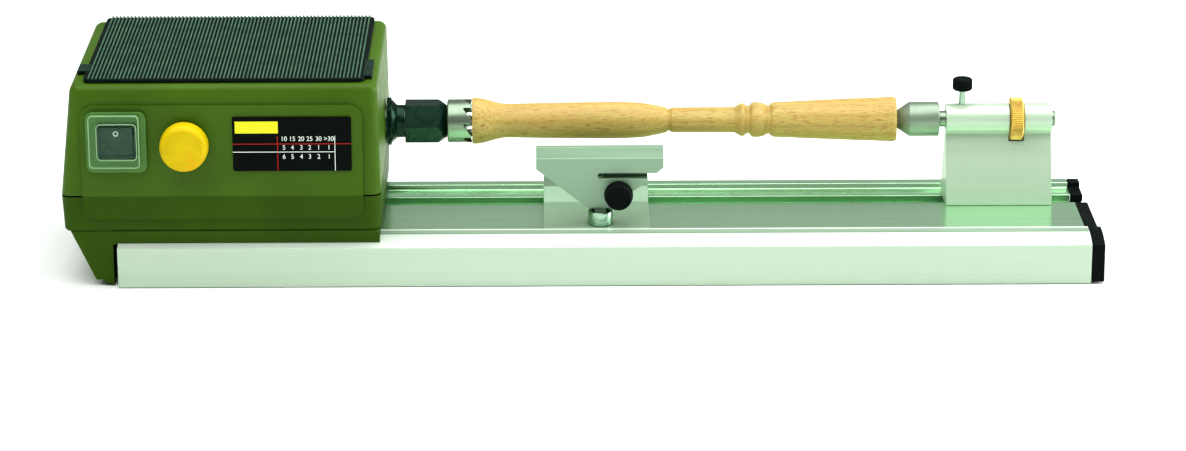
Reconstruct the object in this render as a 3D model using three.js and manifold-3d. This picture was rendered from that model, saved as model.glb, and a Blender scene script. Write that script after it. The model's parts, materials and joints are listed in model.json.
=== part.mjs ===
// Small bench wood-turning lathe: an aluminium bed, a belt-driven headstock in a
// two-part plastic housing, a tool rest, a tailstock, and a turned blank held
// between the centres. Millimetres, +X along the spindle from the headstock to
// the tailstock, +Y to the back, +Z up. While it is drawn, Y = 0 is the spindle
// axis and Z = 0 is the bench top; the last lines centre the whole object.

import * as THREE from 'three';
import { mergeVertices } from 'three/addons/utils/BufferGeometryUtils.js';
import Module from 'manifold-3d';

const wasm = await Module();
wasm.setup();

// ---- driving dimensions ---------------------------------------------------

const GAP = 0.3; // left between pieces that touch
const AXIS_Z = 65; // spindle height over the bench

const BED = {
  left: -158.5, right: 351.5, front: -86, back: 31, wall: 2.5,
  shoulder: 21.2, ridge: 24.8, ridgeFront: -71.7, ridgeBack: -65,
  tray: 21, rampStart: -51.5, rampTop: 22.6,
  slotFront: -11, slotBack: 9, lip: 14.8, slotFloor: 9,
  ledge: 18.8, railFront: 23, rail: 21.5,
};
const HOUSING = {
  left: -186.8, right: -20.4, front: -84, back: 46.5, wall: 2.8, corner: 5,
  seam: 49.5, seamGap: 0.8, top: 109.4, topEdge: 4, draftLeft: 6.6, draftRight: 1,
  floor: 25.2, groove: 30.2, tuckX: 1, tuckY: 2.6, screwX: -170,
};
const LEG = {
  top: 29.7, topLeft: -182.6, bottomLeft: -170.2, right: -160.9, bottom: 3, sole: 0.9, soleLeft: -165.9,
};
const INLET = { x: -150, z: 38 };
const PANEL = { left: -175.3, right: -29.3, top: 98.9, bottom: 37.2, face: -85.8, corner: 7 };
const MAT = { left: -173.5, right: -27.8, front: -79.5, back: 45, bottom: 109.7, top: 112.2 };
const LUGS = { top: 111.8, left: [-178, -171, -63.5, -50], right: [-30, -24.4, -74, -43] }; // x, x, y, y
const MOTOR = { y: -42, z: 60, radius: 22, left: -146, right: -72 };
const BELT = { left: -62, right: -54, thick: 1.2, motorRadius: 7, spindleRadius: 15 };
const SPINDLE = { left: -68, right: -6, radius: 7.5, bore: 5.1, nose: 6.2 };
const COLLAR = {
  left: -20, hexRight: -17.6, neck: -14.6, right: -10.5, cornerRadius: 12.8, turn: 0.31, bore: 7.8,
};
const NUT = { left: -10.2, right: 12.2, cornerRadius: 12.1 };
const DRIVE = { left: 12.6, right: 25.6, radius: 11.7, teeth: 8, toothDepth: 4.3, turn: 0.12 };
const BLANK = { left: 25.9, right: 254.2 };
const LIVE = { nose: 254.6, shoulder: 261.4, back: 277.4, radius: 9.3, noseRadius: 4.6 };
const QUILL = { left: 264.8, collar: 277.9, right: 340.5, radius: 4.3 };
const TAIL = {
  left: 281.3, right: 338.2, barrel: 8.4, web: 3.4, foot: 16.6, screwX: 290, boltX: 304, boltY: 4.5,
  knobBottom: 81.3, knobTop: 87.9,
};
const WHEEL = { left: 315.6, right: 323, radius: 11.5 };
const REST = { left: 60.4, right: 127.7, face: -54.5, back: -49.5, top: 65.3, bottom: 32.6 };
const BASE = { left: 64.1, right: 120.5, front: -62.5, footTop: 24.3, blockTop: 31, boltX: 92.3 };
const SLOT_Y = -1; // middle of the T-slot
const REST_KNOB = { x: 103.9, z: 41 };
const BED_BOLT_XS = [-120, -76];
const POST = { x: 94.3, y: -55, radius: 6.6, bottom: 24.6, top: 31.7 };
const DIAL = { x: -121.2, z: 78.5, radius: 12.7, front: -97.2, back: -87.5 };
const SWITCH = { left: -172.2, right: -140.8, bottom: 63.8, top: 96.2, face: -88.3 };
const SCREW_YS = [-50, 34]; // housing screws, through the overhanging end
const LABEL = { left: -96.4, right: -35, bottom: 63.9, top: 93, thick: 0.8 };

// ---- materials ------------------------------------------------------------

const finish = (color, roughness, metalness) =>
  new THREE.MeshStandardMaterial({ color, roughness, metalness });
const FINISH = {
  housing: () => finish(0x56801f, 0.45, 0),
  mat: () => finish(0x262c2b, 0.8, 0),
  black: () => finish(0x14181a, 0.5, 0),
  aluminium: () => finish(0xc2cfc4, 0.35, 0.9),
  steel: () => finish(0xa9b0ad, 0.3, 1),
  blackSteel: () => finish(0x1d2626, 0.35, 0.8),
  brass: () => finish(0xc9a23a, 0.35, 1),
  wood: () => finish(0xd0a050, 0.55, 0),
  yellow: () => finish(0xe0c414, 0.45, 0),
  clear: () => finish(0xc8dcc8, 0.15, 0),
  copper: () => finish(0x8a5a32, 0.5, 0.6),
  board: () => finish(0x1d6b3c, 0.5, 0),
  white: () => finish(0xe6e6e0, 0.5, 0),
};

// ---- solids from three.js geometry ----------------------------------------

function signedVolume(positions, triangles) {
  const corners = [new THREE.Vector3(), new THREE.Vector3(), new THREE.Vector3()];
  let volume = 0;
  for (let i = 0; i < triangles.length; i += 3) {
    corners.forEach((corner, k) => corner.fromArray(positions, 3 * triangles[i + k]));
    volume += corners[0].dot(corners[1].cross(corners[2])) / 6;
  }
  return volume;
}

function solid(geometry) {
  geometry.deleteAttribute('normal');
  geometry.deleteAttribute('uv');
  const merged = mergeVertices(geometry, 1e-4);
  const positions = new Float32Array(merged.attributes.position.array);
  const triangles = [];
  const index = merged.index.array;
  for (let i = 0; i < index.length; i += 3) {
    const [a, b, c] = [index[i], index[i + 1], index[i + 2]];
    if (a !== b && b !== c && c !== a) triangles.push(a, b, c);
  }
  if (signedVolume(positions, triangles) < 0) triangles.reverse();
  const mesh = new wasm.Mesh({
    numProp: 3, vertProperties: positions, triVerts: new Uint32Array(triangles),
  });
  return new wasm.Manifold(mesh);
}

function piece(name, body, material) {
  const { vertProperties, triVerts } = body.getMesh();
  const geometry = new THREE.BufferGeometry();
  geometry.setAttribute('position', new THREE.BufferAttribute(vertProperties, 3));
  geometry.setIndex(new THREE.BufferAttribute(triVerts, 1));
  const mesh = new THREE.Mesh(geometry, material());
  mesh.name = name;
  return mesh;
}

const joined = (bodies) => bodies.reduce((whole, body) => whole.add(body));
const without = (body, cutters) => cutters.reduce((rest, cutter) => rest.subtract(cutter), body);

function outline(points) {
  return new THREE.Shape(points.map(([u, v]) => new THREE.Vector2(u, v)));
}

function box(x0, x1, y0, y1, z0, z1) {
  const geometry = new THREE.BoxGeometry(x1 - x0, y1 - y0, z1 - z0);
  return solid(geometry.translate((x0 + x1) / 2, (y0 + y1) / 2, (z0 + z1) / 2));
}

// Shapes drawn in (Y, Z), (X, Z) or (X, Y) and pushed along the third axis.
const TURN = {
  X: new THREE.Matrix4().set(0, 0, 1, 0, 1, 0, 0, 0, 0, 1, 0, 0, 0, 0, 0, 1),
  Y: new THREE.Matrix4().set(1, 0, 0, 0, 0, 0, -1, 0, 0, 1, 0, 0, 0, 0, 0, 1),
  Z: new THREE.Matrix4(),
};

function pushed(axis, shape, from, to, curveSegments = 6) {
  const settings = { depth: to - from, bevelEnabled: false, curveSegments };
  const geometry = new THREE.ExtrudeGeometry(shape, settings).applyMatrix4(TURN[axis]);
  const shift = { X: [from, 0, 0], Y: [0, to, 0], Z: [0, 0, from] }[axis];
  return solid(geometry.translate(...shift));
}

// A profile of [position along the axis, radius] turned about X, Y or Z.
function turned(axis, profile, { x = 0, y = 0, z = 0 }, segments = 24) {
  const points = profile.map(([along, radius]) => new THREE.Vector2(radius, along));
  const geometry = new THREE.LatheGeometry(points, segments);
  if (axis === 'X') geometry.rotateZ(-Math.PI / 2);
  if (axis === 'Z') geometry.rotateX(Math.PI / 2);
  return solid(geometry.translate(x, y, z));
}

const rod = (axis, from, to, radius, at, segments = 24) =>
  turned(axis, [[from, 0], [from, radius], [to, radius], [to, 0]], at, segments);

const ring = (axis, from, to, inner, outer, at, segments = 24) =>
  turned(axis, [[from, inner], [from, outer], [to, outer], [to, inner], [from, inner]], at, segments);

function hexagon(from, to, cornerRadius, turn = 0) {
  const points = [];
  for (let k = 0; k < 6; k += 1) {
    const angle = (k * Math.PI) / 3 + turn;
    points.push([cornerRadius * Math.cos(angle), AXIS_Z + cornerRadius * Math.sin(angle)]);
  }
  return pushed('X', outline(points), from, to);
}

function roundedRectangle(u0, u1, v0, v1, radius) {
  const shape = new THREE.Shape();
  shape.moveTo(u0 + radius, v0);
  shape.absarc(u1 - radius, v0 + radius, radius, -Math.PI / 2, 0, false);
  shape.absarc(u1 - radius, v1 - radius, radius, 0, Math.PI / 2, false);
  shape.absarc(u0 + radius, v1 - radius, radius, Math.PI / 2, Math.PI, false);
  shape.absarc(u0 + radius, v0 + radius, radius, Math.PI, 1.5 * Math.PI, false);
  return shape;
}

const ON_SPINDLE = { z: AXIS_Z };

// ---- bed ------------------------------------------------------------------

// The outside of the extrusion, from the front foot over the tray, the T-slot
// and the rear rail to the back foot.
function bedOutside(shape, lift = 0) {
  const b = BED;
  shape.lineTo(b.front, b.shoulder + lift);
  shape.quadraticCurveTo(b.front + 6.4, b.ridge - 0.9 + lift, b.ridgeFront, b.ridge + lift);
  [
    [b.ridgeBack, b.ridge], [b.ridgeBack + 0.6, b.rampTop + 0.6], [b.ridgeBack + 3, b.rampTop - 0.2],
    [b.rampStart, b.tray], [b.slotFront, b.tray], [b.slotFront, b.lip], [b.slotFront - 4, b.lip],
    [b.slotFront - 4, b.slotFloor], [b.slotBack + 4, b.slotFloor], [b.slotBack + 4, b.lip],
    [b.slotBack, b.lip], [b.slotBack, b.ledge], [b.railFront - 0.5, b.ledge], [b.railFront, b.rail],
    [b.back - 1, b.rail], [b.back, b.rail - 1],
  ].forEach(([y, z]) => shape.lineTo(y, z + lift));
}

function makeBed() {
  const b = BED;
  const shape = new THREE.Shape();
  shape.moveTo(b.front, 0);
  bedOutside(shape);
  [
    [b.back, 0], [b.back - 10, 0], [b.back - 10, b.wall], [b.back - b.wall, b.wall],
    [b.back - b.wall, b.ledge - b.wall], [b.slotBack + 6.5, b.ledge - b.wall],
    [b.slotBack + 6.5, b.slotFloor - b.wall], [b.slotFront - 6.5, b.slotFloor - b.wall],
    [b.slotFront - 6.5, b.tray - b.wall], [b.ridgeFront, b.tray - b.wall + 1],
    [b.front + b.wall, b.shoulder - b.wall], [b.front + b.wall, b.wall],
    [b.front + 10, b.wall], [b.front + 10, 0],
  ].forEach(([y, z]) => shape.lineTo(y, z));
  return piece('bed', pushed('X', shape, b.left, b.right, 4), FINISH.aluminium);
}

function makeBedEndCap() {
  const shape = new THREE.Shape();
  shape.moveTo(BED.front, 0.8);
  bedOutside(shape);
  shape.lineTo(BED.back, 0.8);
  const plate = pushed('X', shape, BED.right + GAP, BED.right + 6.8, 4);
  const plug = box(BED.right - 8, BED.right + 1, BED.front + 4, BED.slotFront - 8, 4, 17);
  return piece('bed_end_cap', plate.add(plug), FINISH.black);
}

// ---- headstock housing ----------------------------------------------------

function housingBlock(inset, bottom, top, topEdge) {
  const h = HOUSING;
  const radius = Math.max(h.corner - inset, 1);
  const sides = [h.left + inset, h.right - inset, h.front + inset, h.back - inset];
  const shape = roundedRectangle(...sides, radius);
  const geometry = new THREE.ExtrudeGeometry(shape, {
    depth: top - bottom - 2 * topEdge, curveSegments: 4, bevelEnabled: topEdge > 0,
    bevelThickness: topEdge, bevelSize: topEdge, bevelOffset: -topEdge, bevelSegments: 4,
  });
  geometry.translate(0, 0, bottom + topEdge);
  const place = geometry.attributes.position;
  for (let i = 0; i < place.count; i += 1) {
    const rise = (place.getZ(i) - h.seam) / (h.top - h.seam);
    const across = (place.getX(i) - h.left) / (h.right - h.left);
    const draft = rise * (h.draftLeft * (1 - across) - h.draftRight * across);
    place.setX(i, place.getX(i) + draft);
  }
  return solid(geometry);
}

// The raised panel's lower part, which follows the slope of the lower housing's front.
function makeApron() {
  const h = HOUSING;
  const p = PANEL;
  const top = h.seam + h.seamGap / 2 + 0.1;
  const face = roundedRectangle(p.left, p.right, p.bottom, top + p.corner, p.corner);
  const settings = { depth: h.front - GAP - p.face, bevelEnabled: false, curveSegments: 6 };
  const geometry = new THREE.ExtrudeGeometry(face, settings).applyMatrix4(TURN.Y);
  geometry.translate(0, h.front - GAP, 0);
  const place = geometry.attributes.position;
  for (let i = 0; i < place.count; i += 1) {
    const below = (h.seam - place.getZ(i)) / (h.seam - h.floor);
    place.setY(i, place.getY(i) + h.tuckY * below);
  }
  return without(solid(geometry), [box(-200, 0, -100, 60, top, h.top)]);
}

function makeUpperHousing() {
  const h = HOUSING;
  const p = PANEL;
  const outer = without(housingBlock(0, h.seam - 8, h.top, h.topEdge), [
    box(-200, 0, -100, 60, h.seam - 20, h.seam + h.seamGap / 2),
  ]);
  const inner = housingBlock(h.wall, h.seam - 6, h.top - h.wall, 0);
  const face = roundedRectangle(p.left, p.right, p.bottom, p.top, p.corner);
  const facePlate = without(pushed('Y', face, p.face, h.front + 1), [
    box(-200, 0, -100, 60, 0, h.seam + h.seamGap / 2),
  ]);
  const screwBosses = SCREW_YS.map((y) => ring('Z', h.seam + 3, h.top - 1, 1.8, 4, { x: h.screwX, y }, 12));
  const openings = [
    rod('X', h.right - 8, h.right + 4, 9, ON_SPINDLE),
    rod('Y', p.face - 2, h.front + 6, 4, { x: DIAL.x, z: DIAL.z }),
    box(SWITCH.left + 4.5, SWITCH.right - 4.5, p.face - 2, h.front + 6, SWITCH.bottom + 5, SWITCH.top - 5),
  ];
  const shell = joined([without(outer, [inner]), facePlate, makeApron()]);
  return piece('housing_upper', without(shell.add(joined(screwBosses)), openings), FINISH.housing);
}

function lowerBlock(inset, bottom, top) {
  const h = HOUSING;
  const sides = [h.left + inset, h.right - inset, h.front + inset, h.back - inset];
  const shape = roundedRectangle(...sides, Math.max(h.corner - inset, 1));
  const settings = { depth: top - bottom, bevelEnabled: false, curveSegments: 4 };
  const geometry = new THREE.ExtrudeGeometry(shape, settings).translate(0, 0, bottom);
  const place = geometry.attributes.position;
  const middle = [(h.left + h.right) / 2, (h.front + h.back) / 2];
  for (let i = 0; i < place.count; i += 1) {
    const below = Math.max(h.seam - place.getZ(i), 0) / (h.seam - h.floor);
    place.setX(i, place.getX(i) - Math.sign(place.getX(i) - middle[0]) * below * h.tuckX);
    place.setY(i, place.getY(i) - Math.sign(place.getY(i) - middle[1]) * below * h.tuckY);
  }
  return solid(geometry);
}

// The end wall reaches down past the end of the bed and stands on the bench.
function standLeg() {
  const h = HOUSING;
  const l = LEG;
  const outside = [[l.topLeft, l.top], [l.bottomLeft, l.bottom], [l.right, l.bottom], [l.right, l.top]];
  const inside = [
    [l.topLeft + 3.1, l.top - 0.1], [l.bottomLeft + 3.1, l.bottom - 1],
    [l.right - h.wall, l.bottom - 1], [l.right - h.wall, l.top - 0.1],
  ];
  const y0 = h.front + h.tuckY;
  const y1 = h.back - h.tuckY;
  const hollow = pushed('Y', outline(inside), y0 + h.wall, y1 - h.wall);
  const feet = [[y0, y0 + 13], [y1 - 13, y1]];
  const floors = feet.map(([a, b]) => box(l.bottomLeft, l.right, a, b, l.bottom, l.bottom + h.wall));
  const whole = pushed('Y', outline(outside), y0, y1);
  const soles = feet.map(([a, b]) => box(l.soleLeft, l.right, a, b, l.sole, l.bottom + 0.2));
  const trimmed = joined(floors).intersect(whole);
  return joined([without(whole, [hollow]), trimmed, ...soles]);
}

function makeLowerHousing() {
  const h = HOUSING;
  const groove = without(box(-200, 0, -100, 60, h.groove - 0.4, h.groove + 0.5), [
    lowerBlock(0.7, h.groove - 1, h.groove + 1),
  ]);
  const endTrim = box(h.left - 1, LEG.right, -100, 60, h.floor - 1, h.groove - 0.4);
  const tray = without(lowerBlock(0, h.floor, h.seam - h.seamGap / 2), [
    lowerBlock(h.wall, h.floor + h.wall, h.seam + 1),
    groove,
    endTrim,
  ]).add(box(h.left + 4, LEG.right, h.front + 4, h.back - 4, h.groove - 0.4, h.groove + h.wall));
  const skirt = h.front + h.tuckY;
  const lip = box(LEG.right - 1, h.right - h.tuckX, skirt, skirt + 2.7, 22.2, h.floor + 2);
  const overBed = new THREE.Shape();
  overBed.moveTo(BED.front - 4, 0);
  overBed.lineTo(BED.front - 4, BED.shoulder + 0.35);
  bedOutside(overBed, 0.35);
  overBed.lineTo(BED.back + 1, 0);
  const bedRoom = pushed('X', overBed, BED.left - 1, 10, 4);
  const holes = [
    ...SCREW_YS.map((y) => rod('Z', 20, 35, 1.8, { x: h.screwX, y }, 12)),
    ...BED_BOLT_XS.map((x) => rod('Z', 20, 30, 2.8, { x, y: SLOT_Y }, 12)),
    rod('Y', h.back - 10, h.back + 2, 4.4, INLET, 16),
  ];
  const shell = without(joined([tray, lip]), [bedRoom]).add(standLeg());
  return piece('housing_lower', without(shell, holes), FINISH.housing);
}

function makeRubberMat() {
  const m = MAT;
  const sheet = pushed('Z', roundedRectangle(m.left, m.right, m.front, m.back, 4), m.bottom, m.top);
  const sideLugs = [LUGS.left, LUGS.right].map((extent) => box(...extent, m.bottom, LUGS.top));
  return piece('rubber_mat', joined([sheet, ...sideLugs]), FINISH.mat);
}

function makeFootPads() {
  const ys = [-75, 37.5];
  return ys.map((y, k) => {
    const name = ['foot_pad_front', 'foot_pad_rear'][k];
    const pad = box(LEG.soleLeft + 0.4, LEG.right - 0.4, y - 4.5, y + 4.5, 0, LEG.sole - GAP);
    return piece(name, pad, FINISH.mat);
  });
}

function makeHousingScrews() {
  const seat = HOUSING.groove - 0.4 - GAP;
  const profile = [[seat - 3.3, 0], [seat - 3.3, 3], [seat, 3], [seat, 1.5], [62, 1.5], [62, 0]];
  return [['housing_screw_front', SCREW_YS[0]], ['housing_screw_rear', SCREW_YS[1]]].map(([name, y]) =>
    piece(name, turned('Z', profile, { x: HOUSING.screwX, y }, 12), FINISH.steel));
}

function makeBedBolts() {
  const profile = [[10.6, 0], [10.6, 2.4], [28.3, 2.4], [28.3, 4.2], [32.5, 4.2], [32.5, 0]];
  return ['bed_bolt_left', 'bed_bolt_right'].map((name, k) =>
    piece(name, turned('Z', profile, { x: BED_BOLT_XS[k], y: SLOT_Y }, 12), FINISH.steel));
}

// ---- T-nuts, which slide in the bed's slot --------------------------------

function makeTNut(name, x0, x1, boltXs, boltY) {
  const nut = box(x0, x1, BED.slotFront - 3.5, BED.slotBack + 3.5, BED.slotFloor + 0.6, BED.lip - 0.4);
  const holes = boltXs.map((x) => rod('Z', 5, 20, 2.7, { x, y: boltY }, 12));
  return piece(name, without(nut, holes), FINISH.steel);
}

// ---- controls -------------------------------------------------------------

function makeControls() {
  const s = SWITCH;
  const front = s.face;
  const back = PANEL.face - GAP;
  const bezel = pushed('Y', roundedRectangle(s.left, s.right, s.bottom, s.top, 4), front, back);
  const can = box(s.left + 5, s.right - 5, back - 1, HOUSING.front + 24, s.bottom + 5.5, s.top - 5.5);
  const well = box(s.left + 6.2, s.right - 6.2, front - 2, HOUSING.front + 12, s.bottom + 6.7, s.top - 6.7);
  const switchBody = without(joined([bezel, can]), [well]);

  const middleZ = (s.bottom + s.top) / 2;
  const rockerSide = outline([
    [front + 8, middleZ - 5], [front + 8, middleZ + 5], [front - 0.4, middleZ + 8.2],
    [front + 1.4, middleZ], [front + 1, middleZ - 8.2],
  ]);
  const rocker = pushed('X', rockerSide, s.left + 6.9, s.right - 6.9);

  const c = { left: -170.4, right: -144.1, bottom: 67, top: 95.5 };
  const hood = pushed('Y', roundedRectangle(c.left, c.right, c.bottom, c.top, 3), front - 3.4, front - GAP);
  const hollow = pushed('Y', roundedRectangle(c.left + 1, c.right - 1, c.bottom + 1, c.top - 1, 2.2),
    front - 2.5, front + 1);

  const d = DIAL;
  const dialProfile = [
    [d.front, 0], [d.front + 0.2, 9], [d.front + 1, 11.3], [d.front + 2.8, d.radius - 0.2],
    [d.back - 0.6, d.radius], [d.back, d.radius - 0.4], [d.back, 3.2], [d.front + 4, 3.2],
    [d.front + 4, 0],
  ];
  const potProfile = [
    [d.front + 4.3, 0], [d.front + 4.3, 2.9], [HOUSING.front + 4, 2.9], [HOUSING.front + 4, 8],
    [HOUSING.front + 12, 8], [HOUSING.front + 12, 0],
  ];
  const l = LABEL;
  const label = pushed('Y', roundedRectangle(l.left, l.right, l.bottom, l.top, 1),
    PANEL.face - 0.1 - l.thick, PANEL.face - 0.1);
  return [
    piece('switch_body', switchBody, FINISH.black),
    piece('switch_rocker', rocker, FINISH.black),
    piece('switch_cover', without(hood, [hollow]), FINISH.clear),
    piece('speed_dial', turned('Y', dialProfile, { x: d.x, z: d.z }, 36), FINISH.yellow),
    piece('speed_potentiometer', turned('Y', potProfile, { x: d.x, z: d.z }, 20), FINISH.steel),
    piece('control_board', box(-112, -50, -78, -76.4, 66, 100), FINISH.board),
    piece('label_plate', label, FINISH.black),
  ];
}

// ---- drive ----------------------------------------------------------------

function makeMotor() {
  const m = MOTOR;
  const at = { y: m.y, z: m.z };
  const canProfile = [
    [m.left, 0], [m.left, m.radius - 2], [m.left + 2, m.radius], [m.right, m.radius],
    [m.right, 4], [m.left + 20, 4], [m.left + 20, 0],
  ];
  const shaft = rod('X', m.left + 20.5, BELT.right + 2, 2.5, at, 12);
  const bracketShape = outline([[-66, 28.3], [-66, 84], [-18, 84], [-18, 28.3]]);
  const bracket = without(pushed('X', bracketShape, m.right + GAP, m.right + 3.3), [
    rod('X', m.right - 4, m.right + 8, 4.5, at),
    rod('X', m.right - 4, m.right + 8, SPINDLE.radius + 14, ON_SPINDLE),
  ]);
  return [
    piece('motor_can', turned('X', canProfile, at, 28), FINISH.steel),
    piece('motor_shaft', shaft, FINISH.steel),
    piece('motor_bracket', bracket, FINISH.steel),
    piece('motor_pulley', pulley(BELT.motorRadius, 2.8, at), FINISH.aluminium),
  ];
}

function pulley(radius, bore, at) {
  const from = BELT.left - 1.5;
  const to = BELT.right + 1.5;
  return turned('X', [
    [from, bore], [from, radius + 1.4], [BELT.left - 0.4, radius + 1.4], [BELT.left - 0.4, radius - GAP],
    [BELT.right + 0.4, radius - GAP], [BELT.right + 0.4, radius + 1.4], [to, radius + 1.4],
    [to, bore], [from, bore],
  ], at);
}

// A taut loop round two circles, drawn with the first at the origin.
function beltLoop(near, far, distance) {
  const lean = Math.acos((near - far) / distance);
  const shape = new THREE.Shape();
  shape.absarc(0, 0, near, lean, 2 * Math.PI - lean, false);
  shape.absarc(distance, 0, far, -lean, lean, false);
  return shape;
}

function makeBelt() {
  const dy = -MOTOR.y;
  const dz = AXIS_Z - MOTOR.z;
  const distance = Math.hypot(dy, dz);
  const { motorRadius, spindleRadius, thick, left, right } = BELT;
  const outer = beltLoop(motorRadius + thick, spindleRadius + thick, distance);
  const inner = beltLoop(motorRadius, spindleRadius, distance);
  const settings = { depth: right - left, bevelEnabled: false, curveSegments: 14 };
  const [full, core] = [outer, inner].map((shape) => {
    const geometry = new THREE.ExtrudeGeometry(shape, settings).rotateZ(Math.atan2(dz, dy));
    return solid(geometry.applyMatrix4(TURN.X).translate(left, MOTOR.y, MOTOR.z));
  });
  return piece('drive_belt', full.subtract(core), FINISH.black);
}

function makeSpindle() {
  const s = SPINDLE;
  const c = COLLAR;
  const shaftProfile = [
    [s.left, s.bore], [s.left, s.radius], [s.right, s.radius], [s.right, s.nose], [-22, s.nose],
    [-24, s.bore], [s.left, s.bore],
  ];
  const collarCone = turned('X', [
    [c.hexRight - 0.4, c.bore], [c.hexRight - 0.4, 11.4], [c.hexRight + 0.4, 11.4], [c.neck, 8.9],
    [c.right, 8.8], [c.right, c.bore], [c.hexRight - 0.4, c.bore],
  ], ON_SPINDLE);
  const collarHex = without(hexagon(c.left, c.hexRight, c.cornerRadius, c.turn), [
    rod('X', c.left - 1, c.hexRight + 1, c.bore, ON_SPINDLE),
  ]);
  const colletSlits = [0, 1].map((k) => {
    const slit = new THREE.BoxGeometry(20, 0.9, 14).rotateX((k * Math.PI) / 2);
    return solid(slit.translate(1.2, 0, AXIS_Z));
  });
  const collet = without(turned('X', [
    [-20, 4.2], [-20, 5.9], [5.5, 5.9], [10.6, 4.8], [11.2, 4.8], [11.2, 4.2], [-20, 4.2],
  ], ON_SPINDLE), colletSlits);
  return [
    piece('spindle_shaft', turned('X', shaftProfile, ON_SPINDLE), FINISH.steel),
    piece('spindle_pulley', pulley(BELT.spindleRadius, s.radius + GAP, ON_SPINDLE), FINISH.aluminium),
    piece('spindle_collar', joined([collarHex, collarCone]), FINISH.blackSteel),
    piece('collet', collet, FINISH.steel),
    piece('collet_nut', makeColletNut(), FINISH.blackSteel),
    piece('drive_centre', makeDriveCentre(), FINISH.steel),
  ];
}

function makeColletNut() {
  const n = NUT;
  const chamfered = turned('X', [
    [n.left - 1, 0], [n.left - 1, 12.6], [n.left + 0.6, 12.6], [6.8, 12.6], [n.right, 8.6], [n.right, 0],
  ], ON_SPINDLE);
  const inside = turned('X', [
    [n.left - 2, 0], [n.left - 2, 7.9], [-5.4, 7.9], [-5.4, 6.4], [5.8, 6.4], [11, 5.2],
    [n.right + 1, 5.2], [n.right + 1, 0],
  ], ON_SPINDLE);
  return hexagon(n.left, n.right, n.cornerRadius).intersect(chamfered).subtract(inside);
}

// A crown centre: saw teeth round the rim and a point in the middle.
function makeDriveCentre() {
  const d = DRIVE;
  const body = turned('X', [
    [-18, 0], [-18, 3.9], [d.left - 0.1, 3.9], [d.left - 0.1, d.radius - 0.6], [d.left + 0.5, d.radius],
    [d.right, d.radius], [d.right, 7.4], [d.right - 5.5, 7.4], [d.right - 5.5, 3],
    [d.right - 0.6, 3], [d.right + 2.9, 0],
  ], ON_SPINDLE, 32);
  const pitch = (2 * Math.PI * d.radius) / d.teeth;
  const notch = outline([
    [d.right + 0.5, pitch * 0.04], [d.right - d.toothDepth, pitch * 0.02],
    [d.right - d.toothDepth, -pitch * 0.1], [d.right + 0.5, -pitch * 0.86],
  ]);
  const cutters = [];
  for (let k = 0; k < d.teeth; k += 1) {
    const geometry = new THREE.ExtrudeGeometry(notch, { depth: 8, bevelEnabled: false });
    geometry.translate(0, 0, 6.2).rotateX((k * 2 * Math.PI) / d.teeth - d.turn).translate(0, 0, AXIS_Z);
    cutters.push(solid(geometry));
  }
  return without(body, cutters);
}

function makeBearings() {
  const block = without(box(-50, -27.3, -22, 22, HOUSING.floor + HOUSING.wall + GAP, 87), [
    rod('X', -60, -20, 15.8, ON_SPINDLE),
    rod('X', -80, -49.9, 17, ON_SPINDLE),
  ]);
  return [
    piece('bearing_block', block, FINISH.aluminium),
    piece('bearing_rear', ring('X', -49, -41, SPINDLE.radius + 0.1, 15.5, ON_SPINDLE), FINISH.steel),
    piece('bearing_front', ring('X', -36, -28, SPINDLE.radius + 0.1, 15.5, ON_SPINDLE), FINISH.steel),
  ];
}

function makeCableGland() {
  const outside = HOUSING.back - 0.2;
  const profile = [
    [outside - 8, 2.2], [outside - 8, 4], [outside, 4], [outside, 6.5], [outside + 1.6, 6.5],
    [outside + 1.6, 4.4], [outside + 3.5, 3.8], [outside + 3.5, 2.2], [outside - 8, 2.2],
  ];
  return piece('cable_inlet', turned('Y', profile, INLET, 16), FINISH.black);
}

// ---- turned blank ---------------------------------------------------------

function makeWorkpiece() {
  const profile = [
    [BLANK.left + 3.2, 0], [BLANK.left, 3.2], [BLANK.left, 12.2], [28, 12.45], [31, 12.05],
    [34, 11.4], [38, 10.3], [42, 9.4], [46, 9.15], [60, 9.4], [84, 9.75], [104, 9.85], [116, 9.35],
    [122, 8.5], [128, 7.3], [130.6, 6.6], [131.9, 5.8], [133.4, 6.8], [166.5, 6.9], [168.6, 7.6],
    [170.2, 8.8], [172, 8.9], [174.9, 7.4], [176.6, 9.2], [180.5, 9.4], [183, 8.8], [185.2, 7.7],
    [187.6, 9.2], [190, 9.5], [213, 10.55], [240, 11.6], [252.6, 12.1], [BLANK.right, 11.7],
    [BLANK.right, 3], [BLANK.right - 3, 0],
  ];
  return piece('workpiece', turned('X', profile, ON_SPINDLE, 28), FINISH.wood);
}

// ---- tailstock ------------------------------------------------------------

function makeTailstockBody() {
  const t = TAIL;
  const lean = Math.acos(t.web / t.barrel);
  const shape = new THREE.Shape();
  shape.moveTo(-t.foot, BED.tray + 0.2);
  shape.lineTo(-t.foot, BED.tray + 1.6);
  shape.absarc(0, AXIS_Z, t.barrel, Math.PI + lean, -lean, true);
  [
    [t.foot, BED.tray + 1.6], [t.foot, BED.ledge + GAP], [BED.slotFront + 0.4, BED.ledge + GAP],
    [BED.slotFront + 0.4, BED.tray + 0.2],
  ].forEach(([y, z]) => shape.lineTo(y, z));
  const cutters = [
    rod('X', t.left - 1, t.right + 1, QUILL.radius + 0.2, ON_SPINDLE),
    rod('X', WHEEL.left - 0.5, WHEEL.right + 0.5, WHEEL.radius + 0.8, ON_SPINDLE, 32),
    rod('Z', AXIS_Z, AXIS_Z + 14, 1.9, { x: t.screwX }, 12),
    box(296, 312, 0, 20, 24, 42),
    rod('Z', 15, 30, 2.8, { x: t.boltX, y: t.boltY }, 12),
  ];
  return piece('tailstock_body', without(pushed('X', shape, t.left, t.right, 14), cutters),
    FINISH.aluminium);
}

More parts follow.
